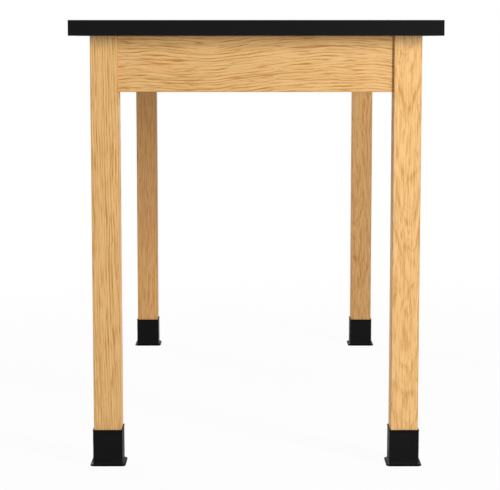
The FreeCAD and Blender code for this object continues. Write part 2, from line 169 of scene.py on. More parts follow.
# Oak. Each board is cut from a log of its own: the pith lies beside the board, and the growth rings
# round it show as straight lines on one face and as cathedrals on the next.
oakTints = {
    "light": (0.910, 0.562, 0.234),
    "straw": (0.900, 0.562, 0.243),
    "amber": (0.890, 0.500, 0.180),
    "dark": (0.560, 0.254, 0.056),
    "pore": (0.380, 0.180, 0.045),
    # a grey used for painted shade: the worktop's shadow on the legs' tops
    "dustAndShade": (0.170, 0.150, 0.150),
}
oakLook = {
    "wander": [((5.0, 5.0, 3.2), 0.0, 0.0300),  # pull, seed and reach, from long bows to small waves
               ((18.0, 18.0, 9.0), 3.0, 0.0130),
               ((70.0, 70.0, 26.0), 4.0, 0.0026)],
    "ruddyBlue": 1.4,  # how much faster the blue goes than the green
    "ringStops": [(0.0, 0.40), (0.12, 1.0), (0.26, 0.75), (0.44, 0.12), (0.86, 0.0), (1.0, 0.40)],
    "ringWobble": 0.20,
    "ringUnevenness": 0.50,
    "faintest": 0.60,
    "streakShare": 0.69,
    "streakWidth": 0.09,
    "dashShare": 0.49,
    "dashWidth": 0.13,
    "plainShare": 0.85,
    "lineFreeShare": 0.27,
    "amberShare": 0.20,
    "fleckShare": 0.14,
    "poreShare": 0.40,
    "latePores": 0.25,
    # the next share darkens the long arrises as painted shade
    "arrisShadeShare": 0.62,
    "arrisReach": (0.0004, 0.0024),
    # painted shade on the legs: the worktop's shadow at their tops, then the shade in the joints beside the
    # aprons
    "dustAndShadeShare": 0.20,
    "underTopShadeReach": (0.035, 0.005),  # from below the worktop to above it
    "jointShadeShare": 0.85,
    "jointEdge": 0.0008,
    "jointFoot": 0.001,
    "lacquerRoughness": 0.38,
    "lacquerSpecular": 0.16,
    "relief": (0.35, 0.00030),
}

# along: the way the grain runs. pith: the log's middle beside the board's, across and through it.
# lean: how the pith drifts from end to end. sway: how far the lines wander. rings: how dark they are.
# bend: how far the log bows to and fro, how quickly, and from where. fineness: streaks per metre across
# the grain. figure: how far the streaks follow the rings. tone and ruddy: how bright and how red it is.
oakBoards = {
    "leg_front_left": {
        "along": "z", "turn": 0, "pith": (0.140, 0.030), "lean": (0.010, 0.004),
        "spacing": 0.0050, "sway": 0.4, "rings": 0.78, "fineness": 420.0, "figure": 0.8,
        "seed": 1.3, "tone": 0.92, "ruddy": 0.0},
    "leg_front_right": {
        "along": "z", "turn": 0, "pith": (0.004, 0.062), "lean": (0.010, 0.045),
        "spacing": 0.0044, "sway": 0.6, "rings": 0.3, "fineness": 430.0, "figure": 0.3,
        "seed": 7.9, "tone": 0.915, "ruddy": 0.0},
    "leg_rear_left": {
        "along": "z", "turn": 90, "pith": (0.030, 0.110), "lean": (0.006, 0.014),
        "spacing": 0.0055, "sway": 0.5, "rings": 0.36, "fineness": 340.0, "figure": 0.6,
        "seed": 13.1, "tone": 0.92, "ruddy": 0.09},
    # this leg's low tone is painted shade, for the shade it stands in under the rear of the worktop
    "leg_rear_right": {
        "along": "z", "turn": 180, "pith": (0.020, 0.085), "lean": (0.012, 0.030),
        "spacing": 0.0055, "sway": 0.5, "rings": 0.24, "fineness": 340.0, "figure": 0.3,
        "seed": 19.6, "tone": 0.745, "ruddy": 0.07},
    "end_apron_front": {
        "along": "x", "turn": 0, "pith": (0.190, 0.0805), "lean": (-0.020, 0.100),
        "spacing": 0.0057, "sway": 1.0, "rings": 0.66, "fineness": 390.0, "figure": 1.0,
        "seed": 25.2, "tone": 0.862, "ruddy": 0.0,
        "bend": (0.0072, 13.1, -0.20)},
    "end_apron_rear": {
        "along": "x", "turn": 0, "pith": (-0.170, 0.095), "lean": (-0.060, 0.100),
        "spacing": 0.0056, "sway": 1.0, "rings": 0.8, "fineness": 340.0, "figure": 1.0,
        "seed": 31.4, "tone": 0.86, "ruddy": 0.05},
    "side_apron_left": {
        "along": "y", "turn": 0, "pith": (0.045, 0.090), "lean": (0.020, 0.050),
        "spacing": 0.0044, "sway": 1.0, "rings": 0.8, "fineness": 340.0, "figure": 1.0,
        "seed": 38.8, "tone": 0.94, "ruddy": 0.03},
    "side_apron_right": {
        "along": "y", "turn": 0, "pith": (-0.060, 0.100), "lean": (0.012, 0.040),
        "spacing": 0.0046, "sway": 1.0, "rings": 0.8, "fineness": 340.0, "figure": 1.0,
        "seed": 44.5, "tone": 0.96, "ruddy": 0.03},
}


# the board's own axes: x and y across the grain, z along it
def boardAxes(start, place, low, high, along, turn):
    quarter = math.pi / 2
    turns = {"x": (0.0, quarter, 0.0), "y": (0.0, quarter, quarter), "z": (0.0, 0.0, math.radians(turn))}
    return start.add("ShaderNodeMapping", {"vector_type": "TEXTURE"},
                     {"Vector": place, "Location": (low + high) / 2, "Rotation": turns[along]})


# 1 at the board's long arrises and 0 on its faces. There the lacquer is rubbed rougher, and its colour is
# darkened as painted shade, to hold down the light that the rounded arrises catch
def arrisWearAndShade(place, low, high, along):
    half = (high - low) / 2
    offsets = place.vectorMath("SUBTRACT", (high + low) / 2).parts()
    gaps = [half[index] - abs(offsets[index]) for index, axis in enumerate("xyz") if axis != along]
    return 1.0 - gaps[0].higher(gaps[1]).rise(*oakLook["arrisReach"])


# on a leg: painted shade just under the worktop, for the worktop's shadow, and painted shade on its inner
# faces beside the aprons, for the shade in the joints
def legPaintedShade(place, leg):
    x, y, z = place.parts()
    low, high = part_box(leg)
    below, above = oakLook["underTopShadeReach"]
    dustAndShade = z.rise(high.z - below, high.z + above)
    onFaces = 1.0
    for offset, inner in ((x, min(abs(low.x), abs(high.x))), (y, min(abs(low.y), abs(high.y)))):
        onFaces = abs(offset).rise(inner, inner + oakLook["jointEdge"]) * onFaces
    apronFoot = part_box("end_apron_front")[0].z
    apronJointShade = (1.0 - onFaces) * z.rise(apronFoot - oakLook["jointFoot"], apronFoot + oakLook["jointFoot"])
    return dustAndShade, apronJointShade


# the point under this one moved by a noise of its own, for the log's wander
def wandered(grain, pull, seed, reach, under):
    centred = grain.noise(pull, seed, 1.0, out="Color").vectorMath("SUBTRACT", (0.5, 0.5, 0.5))
    return centred.vectorMath("MULTIPLY_ADD", (reach, reach, 0.0), under)


def makeOak(board):
    look = oakBoards[board]
    tone = look["tone"]
    ruddy = look["ruddy"]
    blueTone = tone * (1.0 - ruddy * oakLook["ruddyBlue"])
    tints = {name: colour(red * tone, green * tone * (1.0 - ruddy), blue * blueTone)
             for name, (red, green, blue) in oakTints.items()}
    material, start, place = startMaterial("oak_" + board)
    low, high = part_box(board)
    grain = boardAxes(start, place, low, high, look["along"], look["turn"])
    seed = look["seed"]

    # the log's wander, then each point's place beside the pith
    swayed = grain
    for pull, shift, reach in oakLook["wander"]:
        swayed = wandered(grain, pull, seed + shift, reach * look["sway"], swayed)
    across, through, along = swayed.parts()
    if "bend" in look:
        reach, pace, phase = look["bend"]
        across = across + along.math("SINE", along * pace + phase) * reach
    fromPithX = across + along * look["lean"][0] - look["pith"][0]
    fromPithY = through + along * look["lean"][1] - look["pith"][1]
    radius = (fromPithX * fromPithX + fromPithY * fromPithY) ** 0.5
    around = fromPithX.math("ARCTAN2", fromPithY, fromPithX) * radius
    flow = start.add("ShaderNodeCombineXYZ", {}, {"X": radius, "Y": around, "Z": along})

    # rings: some wide and some narrow, some strong and some faint, each dark and porous at its start
    fine = flow.noise((420.0, 60.0, 12.0), seed + 5.0, 1.0, 0.6)
    uneven = start.add("ShaderNodeTexNoise", {"noise_dimensions": "1D"},
                       {"W": radius * 110.0 + seed, "Detail": 1.0})
    rings = radius / look["spacing"] + uneven * oakLook["ringUnevenness"] + fine * oakLook["ringWobble"]
    faint = grain.noise((80.0, 80.0, 9.0), seed + 6.0, 1.0).rise(0.35, 0.65)
    faint = faint * (1.0 - oakLook["faintest"]) + oakLook["faintest"]
    early = rings.math("FRACT", rings).ramp(oakLook["ringStops"]) * faint

    # streaks, short dashes and pores lie along the grain, the pores mostly in the early wood
    count = look["fineness"]
    figure = look["figure"]
    streak = flow.noise((count * 0.75, count * 0.08, 8.0), seed + 8.0, 0.0).ridge(oakLook["streakWidth"])
    dash = flow.noise((count * 1.1, count * 0.10, 16.0), seed + 9.0, 0.0).ridge(oakLook["dashWidth"])
    plain = swayed.noise((count * 1.1, count * 1.1, 20.0), seed + 7.0, 1.0, 0.5).rise(0.40, 0.60)
    lines = (streak * oakLook["streakShare"] + dash * oakLook["dashShare"]) * figure
    lines = lines + plain * (1.0 - figure) * oakLook["plainShare"]
    pores = swayed.noise((2100.0, 2100.0, 95.0), seed + 11.0, 1.0).rise(0.56, 0.68)
    pored = pores * (oakLook["latePores"] + early * (1.0 - oakLook["latePores"]))
    darkness = early * look["rings"] + lines - oakLook["lineFreeShare"]

    # flecks: the rays, pale sheets that run out from the pith
    sheets = start.add("ShaderNodeCombineXYZ", {}, {"X": around * 900.0, "Y": radius * 60.0,
                                                    "Z": along * 28.0 + seed})
    flecks = start.add("ShaderNodeTexNoise", {}, {"Vector": sheets, "Scale": 1.0, "Detail": 1.0})
    flecks = flecks.rise(0.60, 0.72)

    # colour: broad patches of straw and amber, then rings, streaks, rays and pores
    patches = grain.noise((24.0, 24.0, 5.0), seed + 17.0, 3.0, 0.6).rise(0.35, 0.65)
    narrowPatches = flow.noise((150.0, 20.0, 5.0), seed + 23.0, 2.0, 0.6).rise(0.46, 0.70)
    wearAndShade = arrisWearAndShade(place, low, high, look["along"])
    body = patches.mix(tints["straw"], tints["light"])
    body = (narrowPatches * oakLook["amberShare"]).mix(body, tints["amber"])
    body = darkness.math("MINIMUM", darkness, 1.0, clamp=True).mix(body, tints["dark"])
    body = (flecks * oakLook["fleckShare"]).mix(body, tints["light"])
    body = (pored * oakLook["poreShare"]).mix(body, tints["pore"])
    # painted shade: the arrises darkened against the light that they catch
    body = (wearAndShade * oakLook["arrisShadeShare"]).mix(body, tints["dark"])
    if board.startswith("leg_"):
        dustAndShade, apronJointShade = legPaintedShade(place, board)
        # painted shade on the legs: the worktop's shadow at their tops and the shade in the joints beside the
        # aprons
        body = (dustAndShade * oakLook["dustAndShadeShare"]).mix(body, tints["dustAndShade"])
        # painted shade on the legs' inner faces beside the aprons, for the shade in the joints
        body = (apronJointShade * oakLook["jointShadeShare"]).mix(body, tints["dark"])
    rough = oakLook["lacquerRoughness"] + streak * 0.06 + pored * 0.20 - flecks * 0.05 + wearAndShade * 0.10
    relief = 1.0 - pored * 0.8 - early * 0.35 - streak * 0.15 - dash * 0.15
    finishMaterial(start, body, rough, relief.bump(*oakLook["relief"]), oakLook["lacquerSpecular"])
    return material


# High-pressure laminate: black, with a fine pebble and a few faint scuffs
laminateLook = {
    "base": colour(0.0065, 0.0065, 0.0070),
    "scuff": colour(0.0220, 0.0220, 0.0230),
    "scuffShare": 0.35,
    "gritShare": 0.20,
    "pebbles": 780.0,
    "roughness": 0.58,
    "specular": 0.04,
    "relief": (0.30, 0.00025),
}


def makeLaminate():
    look = laminateLook
    material, start, place = startMaterial("black_laminate")
    pebble = start.add("ShaderNodeTexVoronoi", {"feature": "SMOOTH_F1"},
                       {"Vector": place, "Scale": look["pebbles"], "Smoothness": 0.6})
    grit = place.noise((2600.0, 2600.0, 2600.0), 3.0, 1.0)
    cloud = place.noise((3.5, 2.6, 3.0), 5.0, 4.0, 0.6)
    scuffs = place.noise((240.0, 9.0, 9.0), 9.0, 2.0).rise(0.66, 0.74)
    crossScuffs = place.noise((7.0, 210.0, 7.0), 15.0, 2.0).rise(0.67, 0.75)
    worn = scuffs.higher(crossScuffs) * cloud.rise(0.45, 0.65)
    shade = (worn * look["scuffShare"] + grit * look["gritShare"]).mix(look["base"], look["scuff"])
    rough = look["roughness"] + cloud * 0.12 - worn * 0.12 + grit * 0.06
    finishMaterial(start, shade, rough, (pebble + grit * 0.4).bump(*look["relief"]), look["specular"])
    return material


# Edge band: extruded black plastic, with faint lines along it and rubbed arrises
bandLook = {
    "base": colour(0.0052, 0.0052, 0.0055),
    "rubbed": colour(0.0130, 0.0130, 0.0134),
    "arris": 0.0016,
    "nickShare": 0.35,
    "roughness": 0.44,
    "specular": 0.08,
    "relief": (0.18, 0.0003),
}


def makeEdgeBand():
    look = bandLook
    material, start, place = startMaterial("black_edge_band")
    lines = place.noise((6.0, 6.0, 1500.0), 2.0, 2.0)
    mottle = place.noise((42.0, 42.0, 60.0), 6.0, 3.0, 0.6)
    nicks = place.noise((320.0, 320.0, 420.0), 11.0, 2.0).rise(0.70, 0.78)
    low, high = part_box("edge_band_front")
    half = (high.z - low.z) / 2
    arris = abs(place.parts()[2] - (low.z + high.z) / 2).rise(half - look["arris"], half)
    rubbed = arris * (0.30 + mottle * 0.5) + nicks * look["nickShare"]
    shade = rubbed.mix(look["base"], look["rubbed"])
    rough = look["roughness"] + mottle * 0.10 - arris * 0.10
    normal = (lines * 0.5 + mottle * 0.3 - nicks).bump(*look["relief"])
    finishMaterial(start, shade, rough, normal, look["specular"])
    return material


# Backer sheet under the worktop: matt kraft paper soaked in dark resin
backerLook = {
    "base": colour(0.026, 0.022, 0.019),
    "fibre": colour(0.060, 0.048, 0.038),
    "fibreShare": 0.55,
    "cloudShare": 0.35,
    "roughness": 0.68,
    "specular": 0.2,
    "relief": (0.25, 0.0003),
}


def makeBacker():
    look = backerLook
    material, start, place = startMaterial("dark_backer_sheet")
    fibres = place.noise((520.0, 90.0, 300.0), 4.0, 3.0, 0.65).rise(0.45, 0.75)
    cloud = place.noise((14.0, 14.0, 14.0), 8.0, 4.0, 0.6)
    sanding = place.noise((1200.0, 12.0, 40.0), 12.0, 1.0)
    shade = (fibres * look["fibreShare"] + cloud * look["cloudShare"]).mix(look["base"], look["fibre"])
    rough = look["roughness"] + cloud * 0.14 - fibres * 0.06
    normal = (fibres * 0.5 + sanding * 0.5).bump(*look["relief"])
    finishMaterial(start, shade, rough, normal, look["specular"])
    return material


# Particle board: flat chips of pale wood pressed with resin
coreLook = {
    "pale": colour(0.52, 0.38, 0.23),
    "brown": colour(0.26, 0.16, 0.08),
    "chips": (230.0, 230.0, 620.0),
    "chipShare": 0.6,
    "dustAndShadeShare": 0.3,
    "roughness": 0.78,
    "specular": 0.2,
    "relief": (0.5, 0.0006),
}


def makeCore():
    look = coreLook
    material, start, place = startMaterial("pressed_chips")
    flattened = start.add("ShaderNodeMapping", {}, {"Vector": place, "Scale": look["chips"]})
    chips = start.add("ShaderNodeTexVoronoi", {}, {"Vector": flattened, "Scale": 1.0}, "Color")
    tint = start.add("ShaderNodeSeparateColor", {}, {"Color": chips})
    gaps = start.add("ShaderNodeTexVoronoi", {"feature": "DISTANCE_TO_EDGE"},
                     {"Vector": flattened, "Scale": 1.0})
    dustAndShade = place.noise((900.0, 900.0, 900.0), 2.0, 2.0)
    shade = (tint * look["chipShare"] + dustAndShade * look["dustAndShadeShare"]).mix(look["pale"], look["brown"])
    normal = (gaps.rise(0.0, 0.12) + dustAndShade * 0.4).bump(*look["relief"])
    finishMaterial(start, shade, look["roughness"] + dustAndShade * 0.1, normal, look["specular"])
    return material


# Vinyl: satin black, finely grained, with a little floor dust low on the skirt
vinylLook = {
    "base": colour(0.0050, 0.0050, 0.0053),
    "dustAndShade": colour(0.0300, 0.0280, 0.0240),
    "dustAndShadeShare": 0.18,
    "dustFade": (0.001, 0.020),  # the heights over which it thins out
    "rubShare": 0.10,
    "roughness": 0.40,
    "specular": 0.08,
    "relief": (0.16, 0.00025),
}


def makeVinyl():
    look = vinylLook
    material, start, place = startMaterial("black_vinyl")
    skin = place.noise((1900.0, 1900.0, 1900.0), 2.0, 2.0)
    flow = place.noise((30.0, 30.0, 150.0), 6.0, 3.0, 0.55)
    rubs = place.noise((160.0, 160.0, 22.0), 10.0, 3.0, 0.6).rise(0.62, 0.74)
    height = place.parts()[2]
    settled = (1.0 - height.rise(*look["dustFade"])) * flow.rise(0.42, 0.72)
    shade = (settled * look["dustAndShadeShare"] + rubs * look["rubShare"]).mix(look["base"], look["dustAndShade"])
    rough = look["roughness"] + flow * 0.10 + settled * 0.20 + rubs * 0.12
    normal = (skin * 0.5 + flow * 0.6).bump(*look["relief"])
    finishMaterial(start, shade, rough, normal, look["specular"])
    return material


# The flange's foot band, dull and pitted: a darker copy of the vinyl whose near-black colour is painted
# shade, for the contact shadow at the floor
shadedVinylFootLook = {
    "base": colour(0.0009, 0.0009, 0.0010),
    "grazed": colour(0.0060, 0.0058, 0.0054),
    "grazeShare": 0.30,
    "roughness": 0.86,
    "specular": 0.0,
    "relief": (0.30, 0.0003),
}


def makeShadedVinylFoot():
    look = shadedVinylFootLook
    material, start, place = startMaterial("vinyl_foot_painted_shade")
    pits = place.noise((2400.0, 2400.0, 900.0), 5.0, 2.0)
    grazes = place.noise((260.0, 260.0, 60.0), 12.0, 3.0, 0.6).rise(0.58, 0.76)
    shade = (grazes * look["grazeShare"]).mix(look["base"], look["grazed"])
    normal = (pits - grazes * 0.4).bump(*look["relief"])
    finishMaterial(start, shade, look["roughness"] + pits * 0.10, normal, look["specular"])
    return material


# Moulded nylon pad, scratched where it drags on the floor
nylonLook = {
    "base": colour(0.030, 0.030, 0.031),
    "scratched": colour(0.110, 0.108, 0.104),
    "dragShare": 0.7,
    "speckleShare": 0.10,
    "undersideFade": (0.0002, 0.0020),
    "roughness": 0.52,
    "specular": 0.35,
    "relief": (0.25, 0.0003),
}


def makeNylon():
    look = nylonLook
    material, start, place = startMaterial("moulded_nylon")
    speckle = place.noise((1500.0, 1500.0, 1500.0), 3.0, 2.0)
    drags = place.noise((500.0, 60.0, 60.0), 7.0, 2.0).rise(0.60, 0.74)
    underside = 1.0 - place.parts()[2].rise(*look["undersideFade"])
    marks = drags * underside * look["dragShare"] + speckle * look["speckleShare"]
    rough = look["roughness"] + speckle * 0.10 + drags * 0.10
    normal = (speckle * 0.6 - drags * 0.5).bump(*look["relief"])
    finishMaterial(start, marks.mix(look["base"], look["scratched"]), rough, normal, look["specular"])
    return material


# Plated steels: "cast" tints the plating's patches, "drawn" is the pull of its rolling or turning lines
steelLooks = {
    "zinc_sheet": {
        "base": colour(0.560, 0.565, 0.560), "cast": colour(0.640, 0.610, 0.500),
        "stain": colour(0.210, 0.195, 0.170), "roughness": 0.30, "drawn": (60.0, 60.0, 1800.0), "seed": 3.0},
    "zinc_fastener": {
        "base": colour(0.600, 0.590, 0.560), "cast": colour(0.680, 0.610, 0.420),
        "stain": colour(0.180, 0.150, 0.110), "roughness": 0.26, "drawn": (900.0, 900.0, 900.0), "seed": 9.0},
    "nickel_leveller": {
        "base": colour(0.660, 0.640, 0.600), "cast": colour(0.600, 0.600, 0.610),
        "stain": colour(0.140, 0.125, 0.105), "roughness": 0.22, "drawn": (140.0, 140.0, 2200.0),
        "seed": 15.0},
}
platingLook = {"spangles": 190.0, "castShare": 0.7, "stainShare": 0.45, "stainDulling": 0.35,
               "relief": (0.14, 0.0002)}


def makeSteel(name):
    look = steelLooks[name]
    plating = platingLook
    seed = look["seed"]
    material, start, place = startMaterial(name)
    spangle = start.add("ShaderNodeTexVoronoi", {}, {"Vector": place, "Scale": plating["spangles"]}, "Color")
    facet = start.add("ShaderNodeSeparateColor", {}, {"Color": spangle})
    drawn = place.noise(look["drawn"], seed, 2.0)
    cloud = place.noise((75.0, 75.0, 75.0), seed + 2.0, 3.0, 0.6).rise(0.35, 0.65)
    stained = place.noise((210.0, 210.0, 210.0), seed + 5.0, 3.0, 0.65).rise(0.62, 0.80)
    shade = (cloud * plating["castShare"]).mix(look["base"], look["cast"])
    shade = (stained * plating["stainShare"]).mix(shade, look["stain"])
    rough = look["roughness"] + facet * 0.08 + drawn * 0.10 + stained * 0.25
    normal = (drawn * 0.6 + facet * 0.3 - stained * 0.4).bump(*plating["relief"])
    finishMaterial(start, shade, rough, normal, metallic=1.0 - stained * plating["stainDulling"])
    return material


finishes = {
    "laminate": makeLaminate(),
    "edgeBand": makeEdgeBand(),
    "backer": makeBacker(),
    "core": makeCore(),
    "vinyl": makeVinyl(),
    "shadedVinylFoot": makeShadedVinylFoot(),
    "nylon": makeNylon(),
    "sheet": makeSteel("zinc_sheet"),
    "fastener": makeSteel("zinc_fastener"),
    "leveller": makeSteel("nickel_leveller"),
}
print("finishes made:", len(finishes))


# CAD nodes that keep their own mesh
def dress(node, material):
    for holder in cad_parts[node].material_slots:
        holder.material = material


for board in oakBoards:
    dress(board, makeOak(board))
dress("worktop_top_sheet", finishes["laminate"])
dress("worktop_backer", finishes["backer"])
dress("worktop_core", finishes["core"])
for side in ("left", "right", "front", "rear"):
    dress("edge_band_" + side, finishes["edgeBand"])
for corner in corners:
    dress("corner_bracket_" + corner, finishes["sheet"])
    dress("tee_nut_" + corner, finishes["sheet"])
dress("top_clips", finishes["sheet"])
for node in ("bracket_screws", "clip_screws"):
    dress(node, finishes["fastener"])
print("boards and fittings dressed")


# The new pieces' shared steps
def addPiece(name, shape, looks, body, slotName, *nodes, sharpAngle=35.0):
    bmesh.ops.remove_doubles(shape, verts=shape.verts, dist=mergeDistance)
    bmesh.ops.recalc_face_normals(shape, faces=shape.faces)
    mesh = bpy.data.meshes.new(name)
    shape.to_mesh(mesh)
    shape.free()
    for look in looks:
        mesh.materials.append(finishes[look])
    mesh.polygons.foreach_set("use_smooth", [True] * len(mesh.polygons))
    mesh.set_sharp_from_angle(angle=math.radians(sharpAngle))
    piece = bpy.data.objects.new(name, mesh)
    scene.collection.objects.link(piece)
    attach(piece, body)
    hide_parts(*nodes)
    return piece


# a closed outline of radii and heights, or one that starts and ends on the axis, turned about z
def turned(outline, steps):
    shape = bmesh.new()
    points = [shape.verts.new((radius, 0.0, height)) for radius, height in outline]
    ends = points[1:] + points[:1] if outline[0][0] > 0 else points[1:]
    lines = [shape.edges.new(pair) for pair in zip(points, ends)]
    bmesh.ops.spin(shape, geom=points + lines, cent=(0, 0, 0), axis=(0, 0, 1), angle=2 * math.pi,
                   steps=steps, use_merge=True)
    bmesh.ops.remove_doubles(shape, verts=shape.verts, dist=mergeDistance)
    return shape


# lifts a fresh loop off the last one, moves its points, and gives back its edges
def nextLoop(shape, loop, moved):
    made = bmesh.ops.extrude_edge_only(shape, edges=loop)["geom"]
    fresh = {part for part in made if isinstance(part, bmesh.types.BMVert)}
    for point in fresh:
        point.co = moved(point.co)
    return [part for part in made if isinstance(part, bmesh.types.BMEdge) and set(part.verts) <= fresh]


# a point carried onto a ring: a round one has a radius and a height. A hex has its width across flats,
# its height, the radius of its chamfer and the side that this faces. There its corners fall away at
# 30 degrees, as on a turned nut.
def ringPoint(point, kind, size, height, chamfer=0.0, side=0):
    angle = math.atan2(point.y, point.x)
    reach = size
    if kind == "hex":
        reach = size / 2 / math.cos(angle % (math.pi / 3) - math.pi / 6)
        height -= side * max(0.0, reach - chamfer) * math.tan(math.radians(30))
    return Vector((reach * math.cos(angle), reach * math.sin(angle), height))


# rings one above another, joined by faces
def ringStack(rings, steps):
    shape = bmesh.new()
    bmesh.ops.create_circle(shape, segments=steps, radius=1.0)
    firstLoop = shape.edges[:]
    for corner in shape.verts:
        corner.co = ringPoint(corner.co, *rings[0])
    loop = firstLoop
    for ring in rings[1:]:
        loop = nextLoop(shape, loop, lambda point: ringPoint(point, *ring))
    return shape, firstLoop, loop


# one pitch of a thread's flank: on the root or the crest, and how far up the pitch
threadFlank = [("root", 0.0), ("root", 0.12), ("crest", 0.46), ("crest", 0.58), ("root", 0.92), ("root", 1.0)]
threadMerge = 0.000002


# a screw thread: its flank spun up the rod, then cut square at both ends. Where limit gives a smaller
# radius at some height, as at a point or a chamfer, the thread is turned down to it.
def threaded(diameter, pitch, depth, low, high, limit, steps=18):
    radii = {"root": diameter / 2 - depth, "crest": diameter / 2}
    turns = math.ceil((high - low) / pitch) + 2
    shape = bmesh.new()
    points = [shape.verts.new((radii[level], 0.0, low + pitch * (share - 1))) for level, share in threadFlank]
    lines = [shape.edges.new(pair) for pair in zip(points, points[1:])]
    bmesh.ops.spin(shape, geom=points + lines, cent=(0, 0, 0), axis=(0, 0, 1), dvec=(0, 0, pitch / steps),
                   angle=2 * math.pi * turns, steps=steps * turns)
    bmesh.ops.remove_doubles(shape, verts=shape.verts, dist=threadMerge)
    for level, outward in ((low, -1), (high, 1)):
        bmesh.ops.bisect_plane(shape, geom=shape.verts[:] + shape.edges[:] + shape.faces[:],
                               dist=mergeDistance / 2, plane_co=(0, 0, level), plane_no=(0, 0, outward),
                               clear_outer=True)
    for point in shape.verts:
        reach = math.hypot(point.co.x, point.co.y)
        allowed = limit(point.co.z)
        if reach > allowed:
            point.co.x *= allowed / reach
            point.co.y *= allowed / reach
    bmesh.ops.remove_doubles(shape, verts=shape.verts, dist=threadMerge)
    bmesh.ops.holes_fill(shape, edges=[edge for edge in shape.edges if edge.is_boundary], sides=0)
    bmesh.ops.recalc_face_normals(shape, faces=shape.faces)
    return shape


# puts a finished shape into another, once at each matrix
def append(shape, other, matrices=(Matrix.Identity(4),)):
    bmesh.ops.recalc_face_normals(other, faces=other.faces)
    mesh = bpy.data.meshes.new("joining")
    other.to_mesh(mesh)
    other.free()
    for matrix in matrices:
        count = len(shape.verts)
        shape.from_mesh(mesh)
        shape.verts.ensure_lookup_table()
        bmesh.ops.transform(shape, matrix=matrix, verts=shape.verts[count:])
    bpy.data.meshes.remove(mesh)


# a shape made about a leg's axis, put under each leg as a piece of its own
def placeAtLegs(name, shape, looks, bodyName, slotName, nodeName, sharpAngle=35.0):
    for corner in corners:
        low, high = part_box("leg_" + corner)
        piece = shape.copy()
        bmesh.ops.translate(piece, vec=((low.x + high.x) / 2, (low.y + high.y) / 2, 0.0), verts=piece.verts)
        addPiece(name + "_" + corner, piece, looks, bodyName + "_" + corner, slotName,
                 nodeName + "_" + corner, sharpAngle=sharpAngle)
    shape.free()


# Boots: a pliable square sleeve with a low flange round its foot and a thin rim at its mouth
bootLook = {
    "wall": 0.0019,
    "flangeReach": 0.0062,
    "flangeThickness": 0.0032,
    "flangeCorner": 0.0092,
    "flangeEdge": 0.0014,
    "footEdge": 0.0005,
    "footShadeTo": 0.0025,
    "fillet": 0.0030,
    "sleeveCorner": 0.0012,
    "boreCorner": 0.0012,
    "roundSteps": 4,
    "cornerSegments": 6,
    "sideCuts": 11,
    "sleeveSteps": 11,
    "boreSteps": 4,
    "rimHeight": 0.0024,
    "rimStep": 0.0005,
    "rimEase": 0.0004,
    "skinMargin": 0.0002,
    "ripple": 0.00020,
    "rippleFade": 0.008,
    "ripples": [(42.0, 1.0), (110.0, 0.4)],  # how close together, and how strong
}


# a point of one rounded square, carried to the like place of another. Each is (half width, corner
# radius, height).
def resized(point, before, after):
    flatBefore = before[0] - before[1]
    flatAfter = after[0] - after[1]
    place = [0.0, 0.0, after[2]]
    for axis in (0, 1):
        share = max(-1.0, min(1.0, point[axis] / flatBefore))
        outward = (point[axis] - share * flatBefore) / before[1]
        place[axis] = share * flatAfter + outward * after[1]
    return Vector(place)


# rounded squares one above another, joined by faces
def squareStack(rings, cornerSegments, sideCuts):
    half, radius, height = rings[0]
    shape = bmesh.new()
    bmesh.ops.create_grid(shape, x_segments=1, y_segments=1, size=half)
    bmesh.ops.bevel(shape, geom=shape.verts[:], offset=radius, segments=cornerSegments, affect="VERTICES",
                    profile=0.5, material=-1)
    bmesh.ops.delete(shape, geom=shape.faces[:], context="FACES_ONLY")
    sides = [edge for edge in shape.edges if edge.calc_length() > half]
    bmesh.ops.subdivide_edges(shape, edges=sides, cuts=sideCuts)
    bmesh.ops.translate(shape, vec=(0, 0, height), verts=shape.verts)
    firstLoop = shape.edges[:]
    loop = firstLoop
    for lower, upper in zip(rings, rings[1:]):
        loop = nextLoop(shape, loop, lambda point: resized(point, lower, upper))
    return shape, firstLoop, loop


# the boot's section from the floor up its outside, over the rim and down its bore to the floor
def bootRings(halfFlange, top):
    look = bootLook
    halfWall = halfFlange - look["flangeReach"]
    halfBore = halfWall - look["wall"]
    turns = [math.pi / 2 * step / look["roundSteps"] for step in range(look["roundSteps"] + 1)]
    deck = look["flangeThickness"]
    foot = look["footEdge"]
    edge = look["flangeEdge"]
    rings = []
    for turn in turns:
        inset = foot * (1 - math.sin(turn))
        rings.append((halfFlange - inset, look["flangeCorner"] - inset, foot * (1 - math.cos(turn))))
    for turn in turns:
        inset = edge * (1 - math.cos(turn))
        rings.append((halfFlange - inset, look["flangeCorner"] - inset, deck - edge * (1 - math.sin(turn))))
    for turn in turns:
        reach = look["fillet"] * (1 - math.sin(turn))
        rise = look["fillet"] * (1 - math.cos(turn))
        rings.append((halfWall + reach, look["sleeveCorner"] + reach, deck + rise))
    sleeveLow = deck + look["fillet"]
    sleeveHigh = top - look["rimHeight"] - look["rimStep"]
    for step in range(1, look["sleeveSteps"] + 1):
        height = sleeveLow + (sleeveHigh - sleeveLow) * step / look["sleeveSteps"]
        rings.append((halfWall, look["sleeveCorner"], height))
    ease = look["rimEase"]
    rim = look["rimStep"]
    for reach, drop in ((0.0, look["rimHeight"]), (0.0, ease), (0.3 * ease, 0.3 * ease), (ease, 0.0)):
        rings.append((halfWall + rim - reach, look["sleeveCorner"] + rim - reach, top - drop))
    rings.append((halfBore + ease, look["boreCorner"] + ease, top))
    for step in range(look["boreSteps"] + 1):
        rings.append((halfBore, look["boreCorner"], (top - ease) * (1 - step / look["boreSteps"])))
    return rings, sleeveLow, sleeveHigh


# true on the boot's outside, false in its bore
def outside(point, halfBore):
    return max(abs(point.x), abs(point.y)) > halfBore + bootLook["skinMargin"]


